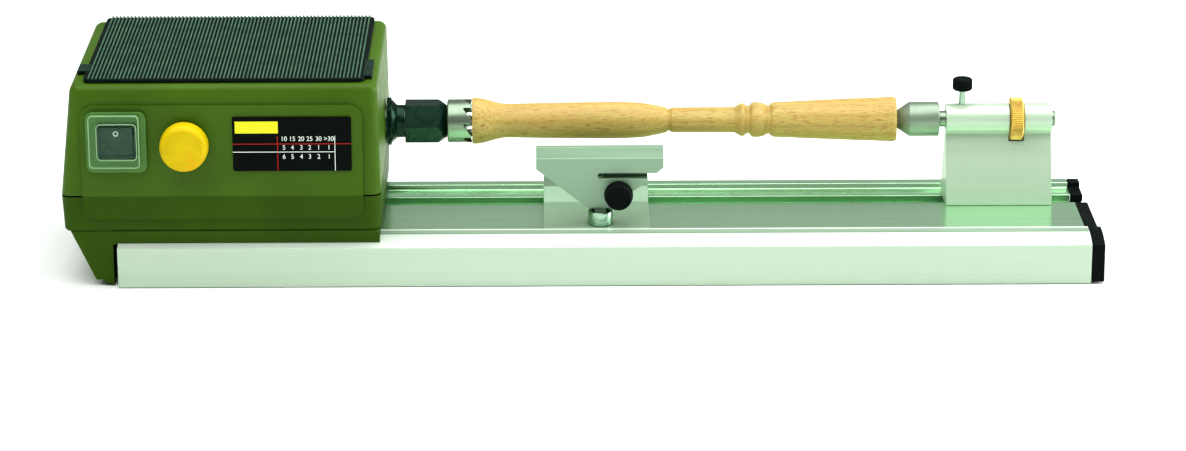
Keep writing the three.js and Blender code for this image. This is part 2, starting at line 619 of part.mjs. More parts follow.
function makeTailstock() {
  const t = TAIL;
  const l = LIVE;
  const headProfile = [
    [l.nose - 2.6, 0], [l.nose, 2.2], [l.nose, l.noseRadius], [l.shoulder, l.radius - 0.2],
    [l.shoulder + 0.6, l.radius], [l.back - 0.5, l.radius], [l.back, l.radius - 0.5],
    [l.back, 6.3], [l.back - 13, 6.3], [l.back - 13, 0],
  ];
  const quillProfile = [
    [QUILL.left, 0], [QUILL.left, 3], [QUILL.collar - 0.2, 3], [QUILL.collar - 0.2, QUILL.radius],
    [QUILL.right - 0.5, QUILL.radius], [QUILL.right, QUILL.radius - 0.5], [QUILL.right, 0],
  ];
  const screwProfile = [
    [AXIS_Z + QUILL.radius + 0.2, 0], [AXIS_Z + QUILL.radius + 0.2, 1.6], [t.knobBottom, 1.6],
    [t.knobBottom, 4.7], [t.knobBottom + 0.7, 5.3], [t.knobTop - 0.7, 5.3], [t.knobTop, 4.7], [t.knobTop, 0],
  ];
  const boltProfile = [[10.6, 0], [10.6, 2.4], [24.3, 2.4], [24.3, 4], [28.3, 4], [28.3, 0]];
  return [
    makeTailstockBody(),
    piece('live_centre', turned('X', headProfile, ON_SPINDLE, 28), FINISH.steel),
    piece('live_centre_bearing', ring('X', l.back - 12, l.back - 2, 3.1, 6.1, ON_SPINDLE), FINISH.steel),
    piece('quill', turned('X', quillProfile, ON_SPINDLE), FINISH.steel),
    piece('feed_wheel', ring('X', WHEEL.left, WHEEL.right, 4.6, WHEEL.radius, ON_SPINDLE, 40),
      FINISH.brass),
    piece('quill_clamp_screw', turned('Z', screwProfile, { x: t.screwX }, 20), FINISH.black),
    piece('tailstock_clamp_bolt', turned('Z', boltProfile, { x: t.boltX, y: t.boltY }, 12),
      FINISH.steel),
    makeTNut('tailstock_t_nut', t.boltX - 12, t.boltX + 12, [t.boltX], t.boltY),
  ];
}

// ---- tool rest ------------------------------------------------------------

function makeRestPlate() {
  const r = REST;
  const slot = { top: 51.8, bottom: 48.8, end: 94.3 };
  const shape = new THREE.Shape();
  shape.moveTo(r.left, 60);
  [
    [r.left, 54], [66.7, 49.3], [87.8, r.bottom], [101.4, r.bottom], [111.5, 41.7], [119.4, 47],
    [119.4, slot.bottom],
  ].forEach(([x, z]) => shape.lineTo(x, z));
  const middle = (slot.top + slot.bottom) / 2;
  shape.absarc(slot.end, middle, (slot.top - slot.bottom) / 2, -Math.PI / 2, Math.PI / 2, true);
  [[124.2, slot.top], [r.right, 54.9], [r.right, 60]].forEach(([x, z]) => shape.lineTo(x, z));
  const plate = pushed('Y', shape, r.face, r.back);
  const bar = pushed('X', outline([
    [r.face, 57], [r.face, 59], [-51.2, r.top], [-47.2, r.top], [r.back, 60], [r.back, 57],
  ]), r.left, r.right);
  const tang = box(POST.x - 3, POST.x + 3, POST.y + 1, POST.y + 3.6, POST.bottom + 2, r.bottom + 2);
  const screwHole = rod('Y', r.face - 2, r.back + 2, 2.3, REST_KNOB, 12);
  return piece('tool_rest', joined([plate, bar, tang]).subtract(screwHole), FINISH.aluminium);
}

function makeToolRest() {
  const b = BASE;
  const side = outline([
    [b.front, 23.2], [b.front, b.footTop], [-18, b.footTop], [-14, 27], [-10, b.blockTop],
    [9, b.blockTop], [16.5, 27], [16.5, BED.ledge + GAP], [BED.slotFront + 0.4, BED.ledge + GAP],
    [BED.slotFront + 0.4, BED.tray + GAP], [-51, BED.tray + GAP],
  ]);
  const boltAt = { x: b.boltX, y: SLOT_Y };
  const base = pushed('X', side, b.left, b.right).subtract(rod('Z', 15, 40, 2.8, boltAt, 12));
  const seat = b.blockTop + GAP;
  const boltProfile = [[10.6, 0], [10.6, 2.4], [seat, 2.4], [seat, 4.2], [seat + 4.8, 4.2], [seat + 4.8, 0]];
  const postAt = { x: POST.x, y: POST.y };
  const cup = turned('Z', [
    [POST.bottom, 0], [POST.bottom, POST.radius], [POST.top, POST.radius], [POST.top, 5],
    [POST.bottom + 1.4, 5], [POST.bottom + 1.4, 0],
  ], postAt, 28);
  const socket = cup.subtract(rod('Y', POST.y + 3, POST.y + 9, 1.8, { x: POST.x, z: 28.6 }, 12));
  const knobProfile = [
    [-64.4, 0], [-64.4, 7.1], [-63.7, 7.7], [-57.9, 7.7], [-57.2, 7.1], [-57.2, 2], [-46, 2], [-46, 0],
  ];
  return [
    makeRestPlate(),
    piece('tool_rest_base', base, FINISH.aluminium),
    piece('tool_rest_socket', socket, FINISH.steel),
    piece('socket_grub_screw', rod('Y', POST.y + 3.9, POST.y + 8.6, 1.5, { x: POST.x, z: 28.6 }, 12),
      FINISH.blackSteel),
    piece('tool_rest_clamp_knob', turned('Y', knobProfile, REST_KNOB, 24), FINISH.black),
    piece('tool_rest_base_bolt', turned('Z', boltProfile, boltAt, 12), FINISH.steel),
    makeTNut('tool_rest_t_nut', 80, 104, [b.boltX], SLOT_Y),
  ];
}

// ---- assembly -------------------------------------------------------------

function assembly(meshes) {
  const group = new THREE.Group();
  group.add(...meshes);
  return group;
}

const group = new THREE.Group();
group.add(
  assembly([makeBed(), makeBedEndCap(), makeTNut('headstock_t_nut', -132, -64, BED_BOLT_XS, SLOT_Y)]),
  assembly([
    makeUpperHousing(), makeLowerHousing(), makeRubberMat(), makeCableGland(),
    ...makeFootPads(), ...makeHousingScrews(), ...makeBedBolts(),
  ]),
  assembly(makeControls()),
  assembly([...makeMotor(), makeBelt(), ...makeBearings(), ...makeSpindle()]),
  makeWorkpiece(),
  assembly(makeToolRest()),
  assembly(makeTailstock()),
);

// Centre the object over the origin, standing on Z = 0.
const extent = new THREE.Box3().setFromObject(group, true);
group.position.x = -(extent.min.x + extent.max.x) / 2;
group.position.y = -(extent.min.y + extent.max.y) / 2;

export default group;
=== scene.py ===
"""Looks of a small bench wood lathe: finer pieces over the CAD frame, and procedural materials."""

import json
import math

import bmesh
import bpy
from mathutils import Matrix, Vector


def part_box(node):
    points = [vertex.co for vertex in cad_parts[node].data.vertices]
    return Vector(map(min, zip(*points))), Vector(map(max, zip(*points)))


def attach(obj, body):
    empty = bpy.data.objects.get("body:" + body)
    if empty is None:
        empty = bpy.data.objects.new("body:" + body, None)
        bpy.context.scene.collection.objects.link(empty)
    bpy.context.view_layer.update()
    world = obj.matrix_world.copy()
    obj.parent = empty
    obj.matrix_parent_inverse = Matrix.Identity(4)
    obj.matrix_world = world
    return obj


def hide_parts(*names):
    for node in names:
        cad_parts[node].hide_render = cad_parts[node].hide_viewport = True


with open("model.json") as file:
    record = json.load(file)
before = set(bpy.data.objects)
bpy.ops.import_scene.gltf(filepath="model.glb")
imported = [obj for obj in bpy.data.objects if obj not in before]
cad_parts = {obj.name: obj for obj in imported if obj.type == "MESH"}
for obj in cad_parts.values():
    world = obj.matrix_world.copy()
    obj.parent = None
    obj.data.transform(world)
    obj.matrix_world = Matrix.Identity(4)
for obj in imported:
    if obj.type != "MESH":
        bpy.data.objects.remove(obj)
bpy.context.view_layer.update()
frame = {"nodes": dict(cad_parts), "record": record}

MM = 0.001
RECORD = frame["record"]
JOINTS = {joint["name"]: joint for joint in RECORD["behaviour"]["joints"]}
AXIS_Y, AXIS_Z = JOINTS["spindle_spin"]["pos_m"][1:]
SHIFT_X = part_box("bed")[0].x + 158.5 * MM      # the CAD's own X = 0, inside the collet nut


def at_x(x_mm):
    """World X of a place given along the bed in the CAD's own millimetres."""
    return SHIFT_X + x_mm * MM


def at_y(y_mm):
    """World Y of a place given in millimetres from the spindle axis, the front being negative."""
    return AXIS_Y + y_mm * MM


# ---- camera ---------------------------------------------------------------

SENSOR_MM, LENS_MM = 36.0, 120.97
HEADING_DEG, PITCH_DEG, ROLL_DEG = 0.487, 18.0, -0.098
CAMERA_PLACE = (-0.01245, -2.0393, 0.6756)


def make_camera():
    """A long lens, almost square to the front, looking down a little."""
    data = bpy.data.cameras.new("camera")
    data.sensor_width = SENSOR_MM
    data.lens = LENS_MM
    data.clip_end = 20
    camera = bpy.data.objects.new("camera", data)
    bpy.context.scene.collection.objects.link(camera)
    heading, pitch, roll = (math.radians(angle) for angle in (HEADING_DEG, PITCH_DEG, ROLL_DEG))
    turn = Matrix.Rotation(-heading, 4, "Z") @ Matrix.Rotation(math.pi / 2 - pitch, 4, "X")
    place = Matrix.Translation(Vector(CAMERA_PLACE))
    camera.matrix_world = place @ turn @ Matrix.Rotation(roll, 4, "Z")
    bpy.context.scene.camera = camera


make_camera()

# ---- node materials -------------------------------------------------------


class Surface:
    """A Principled material whose colour, roughness and bump come from small node graphs."""

    def __init__(self, name, roughness=0.5, metallic=0.0, specular=0.5):
        self.material = bpy.data.materials.new(name)
        self.material.use_nodes = True
        self.nodes = self.material.node_tree.nodes
        self.links = self.material.node_tree.links
        self.shader = self.nodes["Principled BSDF"]
        self.shader.inputs["Roughness"].default_value = roughness
        self.shader.inputs["Metallic"].default_value = metallic
        self.shader.inputs["Specular IOR Level"].default_value = specular
        self.place = self.nodes.new("ShaderNodeTexCoord").outputs["Object"]
        self.normal = None

    def along(self, axis):
        """How far a point lies along X, Y or Z."""
        split = self.nodes.new("ShaderNodeSeparateXYZ")
        self.links.new(self.place, split.inputs[0])
        return split.outputs[axis]

    def stretched(self, scale):
        mapping = self.nodes.new("ShaderNodeMapping")
        mapping.inputs["Scale"].default_value = scale
        self.links.new(self.place, mapping.inputs["Vector"])
        return mapping.outputs["Vector"]

    def noise(self, scale, stretch=(1, 1, 1), detail=3.0, rough=0.5, distortion=0.0):
        node = self.nodes.new("ShaderNodeTexNoise")
        node.inputs["Scale"].default_value = scale
        node.inputs["Detail"].default_value = detail
        node.inputs["Roughness"].default_value = rough
        node.inputs["Distortion"].default_value = distortion
        self.links.new(self.stretched(stretch), node.inputs["Vector"])
        return node.outputs["Fac"]

    def ramp(self, value, *stops):
        node = self.nodes.new("ShaderNodeValToRGB")
        elements = node.color_ramp.elements
        while len(elements) < len(stops):
            elements.new(0.5)
        for element, (position, color) in zip(elements, stops):
            element.position = position
            element.color = (*color, 1)
        self.links.new(value, node.inputs["Fac"])
        return node.outputs["Color"]

    def levels(self, value, low, high, from_low=0.3, from_high=0.7):
        node = self.nodes.new("ShaderNodeMapRange")
        limits = {"From Min": from_low, "From Max": from_high, "To Min": low, "To Max": high}
        for key, number in limits.items():
            node.inputs[key].default_value = number
        self.links.new(value, node.inputs["Value"])
        return node.outputs["Result"]

    def mix(self, factor, first, second):
        """Blends two colours; sockets 6 and 7 of the node are its A and B colours."""
        node = self.nodes.new("ShaderNodeMix")
        node.data_type = "RGBA"
        sockets = (node.inputs["Factor"], node.inputs[6], node.inputs[7])
        for socket, value in zip(sockets, (factor, first, second)):
            if isinstance(value, tuple):
                socket.default_value = (*value, 1)
            else:
                self.links.new(value, socket)
        return node.outputs[2]

    def color(self, output):
        self.links.new(output, self.shader.inputs["Base Color"])

    def roughness(self, output):
        self.links.new(output, self.shader.inputs["Roughness"])

    def bump(self, output, strength, distance):
        node = self.nodes.new("ShaderNodeBump")
        node.inputs["Strength"].default_value = strength
        node.inputs["Distance"].default_value = distance
        self.links.new(output, node.inputs["Height"])
        if self.normal is not None:
            self.links.new(self.normal, node.inputs["Normal"])
        self.normal = node.outputs["Normal"]
        self.links.new(self.normal, self.shader.inputs["Normal"])


def shade(color, factor):
    """A lighter or darker version of a colour."""
    return tuple(min(channel * factor, 1.0) for channel in color)


def moulded_plastic(name, color, roughness, grain=0.25, spread=0.12, specular=0.3):
    """Plastic with a fine grain and a little unevenness in its colour."""
    surface = Surface(name, roughness, specular=specular)
    clouds = surface.noise(22, detail=4)
    surface.color(surface.ramp(clouds, (0.3, shade(color, 1 - spread)), (0.7, shade(color, 1 + spread))))
    fine = surface.noise(2600, detail=2)
    surface.roughness(surface.levels(surface.noise(90, detail=3), roughness - 0.06, roughness + 0.07))
    surface.bump(fine, grain, 0.00008)
    return surface.material


def belt_rubber():
    """Dull black rubber."""
    surface = Surface("belt_rubber", 0.6, specular=0.25)
    black = (0.02, 0.022, 0.022)
    surface.color(surface.ramp(surface.noise(60), (0.3, shade(black, 0.8)), (0.75, shade(black, 1.35))))
    surface.roughness(surface.levels(surface.noise(300), 0.5, 0.68))
    surface.bump(surface.noise(3000, detail=2), 0.2, 0.0001)
    return surface.material


def mat_rubber():
    """Rubber that is dark between the ribs, with a painted highlight that makes the ribs' crests pale."""
    surface = Surface("mat_rubber", 0.6, specular=0.1)
    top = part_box("rubber_mat")[1].z
    # the crest mask gives the ribs' tops a pale colour as painted highlight over the dark rubber
    crest = surface.levels(surface.along("Z"), 0.0, 1.0, top - 0.75 * MM, top - 0.02 * MM)
    painted_crest_highlight = surface.ramp(
        surface.noise(90, detail=4), (0.3, (0.050, 0.112, 0.072)), (0.7, (0.090, 0.175, 0.115)))
    surface.color(surface.mix(crest, (0.003, 0.009, 0.007), painted_crest_highlight))
    surface.roughness(surface.levels(surface.noise(300), 0.45, 0.65))
    surface.bump(surface.noise(3000, detail=2), 0.2, 0.0001)
    return surface.material


def drawn_aluminium(name, color, roughness, streak=(1.5, 420, 420), depth=0.015, metallic=0.3):
    """Anodised metal with fine lines along the way it was drawn or milled."""
    surface = Surface(name, roughness, metallic, 0.4)
    lines = surface.noise(1.0, streak, detail=4, rough=0.6)
    base = surface.ramp(lines, (0.25, shade(color, 0.97)), (0.75, shade(color, 1.02)))
    clouds = surface.levels(surface.noise(14, detail=2), 0, 0.3)
    surface.color(surface.mix(clouds, base, shade(color, 0.93)))
    surface.roughness(surface.levels(lines, roughness - 0.03, roughness + 0.05))
    surface.bump(lines, depth, 0.00004)
    return surface.material


def bed_aluminium():
    """The bed: matt at the front, a painted highlight band over its shoulder, painted shade as a darker
    strip with a dark edge line on the ridge, a painted reflection as a white line, and polished behind
    that, where a brighter green is partly painted reflection of the housing.
    Each zone starts at a place measured from the spindle axis."""
    surface = Surface("bed_aluminium", 0.4, 0.25, 0.4)
    across = surface.along("Y")
    shoulder_highlight_mm, shade_edge_mm, ridge_shade_mm, reflection_line_mm, tray_mm = -85.8, -73.2, -72.4, -67.2, -64.6

    def behind(y_mm, blend_mm=0.3):
        edge = at_y(y_mm)
        return surface.levels(across, 0.0, 1.0, edge, edge + blend_mm * MM)

    polished = behind(tray_mm, 1.0)
    lines = surface.noise(1.0, (1.5, 420, 420), detail=4, rough=0.6)
    matt = surface.ramp(lines, (0.25, (0.47, 0.58, 0.46)), (0.75, (0.50, 0.62, 0.49)))
    # brighter green for the polished tray: partly painted reflection of the green housing
    bright = surface.ramp(lines, (0.25, (0.52, 0.82, 0.54)), (0.75, (0.60, 0.92, 0.62)))
    # painted highlight: the shoulder band lighter than the matt front
    matt = surface.mix(behind(shoulder_highlight_mm), matt, (0.68, 0.76, 0.68))
    # painted shade: a dark edge line, then a darker strip on the ridge top
    strip = surface.mix(behind(shade_edge_mm), matt, (0.15, 0.24, 0.16))
    strip = surface.mix(behind(ridge_shade_mm), strip, (0.30, 0.42, 0.31))
    # painted reflection: a white line along the ridge's inner edge
    line = surface.mix(behind(reflection_line_mm), strip, (0.86, 0.95, 0.87))
    surface.color(surface.mix(polished, line, bright))
    surface.links.new(surface.levels(polished, 0.25, 0.88, 0.0, 1.0), surface.shader.inputs["Metallic"])
    surface.roughness(surface.levels(polished, 0.42, 0.2, 0.0, 1.0))
    surface.bump(lines, 0.012, 0.00004)
    return surface.material


def turned_steel(name, color, roughness, metallic, axis=0):
    """Bright metal with the fine rings that turning leaves round an axis: 0 is X and 2 is Z."""
    surface = Surface(name, roughness, metallic)
    stretch = [2.0, 2.0, 2.0]
    stretch[axis] = 2600.0
    rings = surface.noise(1.0, tuple(stretch), detail=2)
    stains = surface.noise(90, detail=4)
    surface.color(surface.ramp(stains, (0.35, shade(color, 0.9)), (0.7, shade(color, 1.06))))
    surface.roughness(surface.levels(rings, roughness - 0.04, roughness + 0.06))
    surface.bump(rings, 0.02, 0.00003)
    return surface.material


def black_oxide():
    """Blackened steel with turning marks round X."""
    surface = Surface("black_steel", 0.3, 0.55, 0.3)
    stains = surface.noise(120, detail=5)
    surface.color(surface.ramp(stains, (0.3, (0.004, 0.024, 0.014)), (0.75, (0.009, 0.042, 0.026))))
    surface.roughness(surface.levels(surface.noise(420, detail=3), 0.2, 0.38))
    surface.bump(surface.noise(1.0, (1800, 3, 3), detail=2), 0.04, 0.00004)
    return surface.material


def knurled_brass():
    """Brass a little dulled by handling; the knurl itself is in the wheel's shape."""
    surface = Surface("knurled_brass", 0.36, 0.6)
    stains = surface.noise(70, detail=3)
    surface.color(surface.ramp(stains, (0.3, (0.62, 0.40, 0.075)), (0.7, (0.83, 0.60, 0.17))))
    surface.roughness(surface.levels(surface.noise(300, detail=3), 0.24, 0.38))
    surface.bump(surface.noise(1800, detail=2), 0.05, 0.00003)
    return surface.material


def turned_beech():
    """Beech: pale golden wood with growth bands along it and short dark ray flecks."""
    surface = Surface("turned_beech", 0.5)
    bands = surface.noise(1.0, (7, 190, 190), detail=5, rough=0.6, distortion=0.6)
    base = surface.ramp(
        bands, (0.25, (0.37, 0.24, 0.05)), (0.48, (0.50, 0.36, 0.095)), (0.75, (0.60, 0.465, 0.155)))
    flecks = surface.noise(1.0, (210, 2300, 2300), detail=2, rough=0.5)
    marks = surface.levels(flecks, 0.0, 0.9, 0.54, 0.67)
    speckled = surface.mix(marks, base, (0.30, 0.14, 0.025))
    cloud = surface.noise(1.0, (25, 60, 60), detail=3)
    surface.color(surface.mix(surface.levels(cloud, 0.0, 0.3), speckled, (0.60, 0.36, 0.11)))
    surface.roughness(surface.levels(bands, 0.42, 0.58))
    surface.bump(flecks, 0.25, 0.0001)
    surface.bump(surface.noise(1.0, (1400, 5, 5), detail=1), 0.12, 0.00006)
    return surface.material


def dial_plastic():
    """Yellow plastic with an orange rub mark low on one side."""
    surface = Surface("dial_plastic", 0.45, specular=0.15)
    yellow = surface.ramp(
        surface.noise(120, detail=4), (0.3, (0.56, 0.40, 0.002)), (0.7, (0.67, 0.50, 0.004)))
    low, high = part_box("speed_dial")
    apart = surface.nodes.new("ShaderNodeVectorMath")
    apart.operation = "DISTANCE"
    mark_x = low.x + 0.7 * (high.x - low.x)
    mark_z = low.z + 0.18 * (high.z - low.z)
    apart.inputs[1].default_value = (mark_x, low.y, mark_z)
    surface.links.new(surface.place, apart.inputs[0])
    near = surface.levels(apart.outputs["Value"], 0.75, 0.0, 0.001, 0.0095)
    patchy = surface.levels(surface.noise(700, detail=4), 0.0, 1.0, 0.42, 0.62)
    both = surface.nodes.new("ShaderNodeMath")
    both.operation = "MULTIPLY"
    surface.links.new(near, both.inputs[0])
    surface.links.new(patchy, both.inputs[1])
    surface.color(surface.mix(both.outputs[0], yellow, (0.80, 0.36, 0.01)))
    surface.bump(surface.noise(900, detail=3), 0.12, 0.0001)
    return surface.material


def clear_plastic():
    """A thin glossy cover: mostly see-through, with a tint of its own."""
    surface = Surface("clear_cover", 0.1)
    tint = (0.16, 0.36, 0.20)
    surface.shader.inputs["Alpha"].default_value = 0.07
    surface.color(surface.ramp(surface.noise(80), (0.3, shade(tint, 0.85)), (0.7, shade(tint, 1.1))))
    surface.roughness(surface.levels(surface.noise(240, detail=4), 0.06, 0.18))
    surface.bump(surface.noise(140, detail=2), 0.1, 0.0003)
    return surface.material


GREEN = (0.056, 0.125, 0.0045)
MATERIALS = {
    "housing_green": moulded_plastic("housing_green", GREEN, 0.42, specular=0.18),
    # a darker copy of the housing green: painted shade for the lower shell and the apron below the seam
    "housing_green_low": moulded_plastic("housing_green_low", shade(GREEN, 0.68), 0.42, specular=0.1),
    "mat_rubber": mat_rubber(),
    "black_plastic": moulded_plastic("black_plastic", (0.003, 0.006, 0.005), 0.5, 0.15, specular=0.07),
    "label": moulded_plastic("label_foil", (0.003, 0.005, 0.004), 0.5, 0.05, specular=0.06),
    "bed_aluminium": bed_aluminium(),
    "tailstock_aluminium": drawn_aluminium("tailstock_aluminium", (0.54, 0.67, 0.52), 0.36),
    "rest_aluminium": drawn_aluminium(
        "rest_aluminium", (0.27, 0.40, 0.28), 0.44, (6, 500, 500), 0.03, 0.3),
    "bright_steel": turned_steel("bright_steel", (0.23, 0.30, 0.22), 0.3, 0.8),
    "black_steel": black_oxide(),
    "brass": knurled_brass(),
    "beech": turned_beech(),
    "dial_yellow": dial_plastic(),
    "clear_cover": clear_plastic(),
    "circuit_board": moulded_plastic("circuit_board", (0.012, 0.10, 0.035), 0.3, 0.1),
    "belt_rubber": belt_rubber(),
}
SLOT_OF = {row["node"]: row["material_slot"] for row in RECORD["subparts"]}
BODY_OF = {node: body for body, nodes in RECORD["behaviour"]["bodies"].items() for node in nodes}

# ---- building pieces ------------------------------------------------------


def add_piece(name, mesh, node, material=None, replaces=True):
    """A new object that looks like its CAD node's slot and rides on its body."""
    piece = bpy.data.objects.new(name, mesh)
    bpy.context.scene.collection.objects.link(piece)
    mesh.materials.clear()
    mesh.materials.append(material or MATERIALS[SLOT_OF[node]])
    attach(piece, BODY_OF[node])
    if replaces:
        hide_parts(node)
    return piece


def smooth(mesh, degrees=32):
    mesh.shade_smooth()
    mesh.set_sharp_from_angle(angle=math.radians(degrees))


def add_bevel(piece, width_mm, degrees=32):
    bevel = piece.modifiers.new("edges", "BEVEL")
    bevel.width = width_mm * MM
    bevel.segments = 3
    bevel.limit_method = "ANGLE"
    bevel.angle_limit = math.radians(degrees)
    bevel.harden_normals = True


def refined(node, bevel_mm, material=None, degrees=32):
    """The CAD node's own shape with flat facets merged and its hard edges rounded."""
    mesh = frame["nodes"][node].data.copy()
    work = bmesh.new()
    work.from_mesh(mesh)
    bmesh.ops.remove_doubles(work, verts=work.verts, dist=1e-6)
    bmesh.ops.dissolve_limit(work, angle_limit=math.radians(0.6), verts=work.verts, edges=work.edges)
    work.to_mesh(mesh)
    work.free()
    smooth(mesh, degrees)
    piece = add_piece(node + "_finished", mesh, node, material)
    add_bevel(piece, bevel_mm, degrees)
    return piece


def softened(profile, radius):
    """Rounds each corner between a profile's two ends with a short curve."""
    points = [Vector(point) for point in profile]
    result = [points[0]]
    for before, corner, after in zip(points, points[1:], points[2:]):
        back, ahead = before - corner, after - corner
        reach = min(radius, back.length * 0.45, ahead.length * 0.45)
        if reach < 1e-4 or back.angle(ahead) > math.radians(172):
            result.append(corner)
            continue
        start, end = corner + back.normalized() * reach, corner + ahead.normalized() * reach
        for step in range(4):
            t = step / 3
            result.append(start * (1 - t) ** 2 + corner * (2 * t * (1 - t)) + end * t ** 2)
    result.append(points[-1])
    return result


def lathe(profile_mm, axis, origin, segments=96, soft=0.25, ripple=None):
    """Turns [along, radius] points, in millimetres, round an axis through origin.

    ripple is (count, depth, inner radius): ribs on everything outside that radius.
    """
    points = softened(profile_mm, soft) if soft else [Vector(point) for point in profile_mm]
    frames = {
        "X": (Vector((1, 0, 0)), Vector((0, 1, 0)), Vector((0, 0, 1))),
        "Y": (Vector((0, 1, 0)), Vector((0, 0, 1)), Vector((1, 0, 0))),
        "Z": (Vector((0, 0, 1)), Vector((1, 0, 0)), Vector((0, 1, 0))),
    }
    along, first, second = frames[axis]
    work = bmesh.new()
    rings = []
    for distance, radius in points:
        if radius < 1e-6:
            rings.append([work.verts.new(origin + along * distance * MM)])
            continue
        row = []
        for k in range(segments):
            angle = 2 * math.pi * k / segments
            reach = radius
            if ripple and radius > ripple[2]:
                reach -= ripple[1] * (0.5 - 0.5 * math.cos(ripple[0] * angle))
            spoke = first * math.cos(angle) + second * math.sin(angle)
            row.append(work.verts.new(origin + (along * distance + spoke * reach) * MM))
        rings.append(row)
    for low, high in zip(rings, rings[1:]):
        for k in range(segments):
            n = (k + 1) % segments
            corners = [low[k % len(low)], low[n % len(low)], high[n % len(high)], high[k % len(high)]]
            unique = list(dict.fromkeys(corners))
            if len(unique) > 2:
                work.faces.new(unique)
    bmesh.ops.remove_doubles(work, verts=work.verts, dist=1e-7)
    bmesh.ops.recalc_face_normals(work, faces=work.faces)
    mesh = bpy.data.meshes.new("turned")
    work.to_mesh(mesh)
    work.free()
    smooth(mesh, 40)
    return mesh


def turned_size(node, axis):
    """Where a round node starts on its own axis, then its length and its radius in millimetres."""
    low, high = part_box(node)
    middle = (low + high) / 2
    if axis == "X":
        return Vector((low.x, AXIS_Y, AXIS_Z)), (high.x - low.x) / MM, (high.z - low.z) / 2 / MM
    radius = (high.x - low.x) / 2 / MM
    if axis == "Y":
        return Vector((middle.x, low.y, middle.z)), (high.y - low.y) / MM, radius
    return Vector((middle.x, middle.y, low.z)), (high.z - low.z) / MM, radius


def block(low, high):
    """A box between two corners."""
    work = bmesh.new()
    bmesh.ops.create_cube(work, size=1.0)
    size, middle = high - low, (low + high) / 2
    for vertex in work.verts:
        vertex.co = Vector((vertex.co[i] * size[i] for i in range(3))) + middle
    mesh = bpy.data.meshes.new("block")
    work.to_mesh(mesh)
    work.free()
    return mesh


# ---- headstock ------------------------------------------------------------

def make_housing():
    """The two shells, with a black seam between them, painted as shadow in the gap, and a darker green
    from the seam down, painted as shade.
    """
    upper = refined("housing_upper", 0.6)
    lower = refined("housing_lower", 0.5, MATERIALS["housing_green_low"])
    seam_height, seam_half = 49.5 * MM, 0.7 * MM
    seam_shadow_slot, painted_shade_slot = 1, 2
    for housing in (upper, lower):
        housing.data.materials.append(MATERIALS["black_plastic"])
        housing.data.materials.append(MATERIALS["housing_green_low"])
        for polygon in housing.data.polygons:
            # faces in the seam gap are painted black as shadow
            if abs(polygon.center.z - seam_height) < seam_half:
                polygon.material_index = seam_shadow_slot
            # faces below the seam get the darker green as painted shade
            elif polygon.center.z < seam_height:
                polygon.material_index = painted_shade_slot
    refined("cable_inlet", 0.3)
    refined("foot_pad_front", 0.5)
    refined("foot_pad_rear", 0.5)


def make_mat():
    """The ribbed mat: a sheet with rounded corners, ribs from front to back, and two smooth lugs."""
    low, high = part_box("rubber_mat")
    left, right = at_x(-173.5), at_x(-27.8)     # the sheet's own sides, without the lugs
    front, back = low.y, high.y
    base, top = low.z, high.z
    corner, rib_rise, pitch = 4 * MM, 0.9 * MM, 2.0 * MM
    end_gap = 0.05 * MM
    work = bmesh.new()
    outline = []
    centres = [(right - corner, front + corner, -90), (right - corner, back - corner, 0),
               (left + corner, back - corner, 90), (left + corner, front + corner, 180)]
    for x, y, start in centres:
        for k in range(7):
            angle = math.radians(start + 15 * k)
            outline.append((x + corner * math.cos(angle), y + corner * math.sin(angle)))
    loop = [work.verts.new((x, y, base)) for x, y in outline]
    face = work.faces.new(loop)
    moved = bmesh.ops.extrude_face_region(work, geom=[face])["geom"]
    for vertex in (v for v in moved if isinstance(v, bmesh.types.BMVert)):
        vertex.co.z = top - rib_rise
    count = int((right - left - 2 * MM) / pitch)
    start_x = (left + right - (count - 1) * pitch) / 2
    for k in range(count):
        x = start_x + k * pitch
        inset = max(0.0, corner - min(x - left, right - x))
        trim = corner - math.sqrt(max(corner ** 2 - inset ** 2, 0)) if inset else 0
        ends = (front + trim + end_gap, back - trim - end_gap)
        rib(work, x, *ends, top - rib_rise, top, pitch * 0.27)
    for lug_low, lug_high in lugs(low, high, left, right):
        stretch = Matrix.Diagonal((*(lug_high - lug_low), 1))
        place = Matrix.Translation((lug_low + lug_high) / 2)
        bmesh.ops.create_cube(work, size=1.0, matrix=place @ stretch)
    bmesh.ops.recalc_face_normals(work, faces=work.faces)
    mesh = bpy.data.meshes.new("mat")
    work.to_mesh(mesh)
    work.free()
    smooth(mesh, 50)
    add_piece("ribbed_mat", mesh, "rubber_mat")


def rib(work, x, front, back, low, high, half):
    """One raised rib with a rounded top, from front to back."""
    section = [(-half, low - 0.1 * MM), (-half, low + 0.4 * (high - low)), (-half * 0.6, high - 0.08 * MM),
               (0, high), (half * 0.6, high - 0.08 * MM), (half, low + 0.4 * (high - low)),
               (half, low - 0.1 * MM)]
    ends = [[work.verts.new((x + u, y, z)) for u, z in section] for y in (front, back)]
    count = len(section)
    for k in range(count):
        n = (k + 1) % count
        work.faces.new([ends[0][k], ends[0][n], ends[1][n], ends[1][k]])
    work.faces.new(ends[0])
    work.faces.new(list(reversed(ends[1])))


def lugs(low, high, left, right):
    """The low and high corners of the two smooth side lugs."""
    top = high.z - 0.62 * MM
    return [
        (Vector((low.x, at_y(-63.5), low.z)), Vector((left + 2 * MM, at_y(-50), top))),
        (Vector((right - 1 * MM, at_y(-74), low.z)), Vector((high.x, at_y(-43), top))),
    ]


def make_dial():
    """The speed dial: a slightly dished face, a rounded rim, and a bore behind for its shaft."""
    centre, depth, radius = turned_size("speed_dial", "Y")
    profile = [
        (0.3, 0), (0.15, radius * 0.5), (0, radius * 0.78), (0.5, radius * 0.86), (1.9, radius * 0.965),
        (4.4, radius - 0.15), (depth - 1.0, radius), (depth, radius - 0.5), (depth, 3.2), (4, 3.2), (4, 0),
    ]
    add_piece("dial", lathe(profile, "Y", centre, 120, 0.8), "speed_dial")


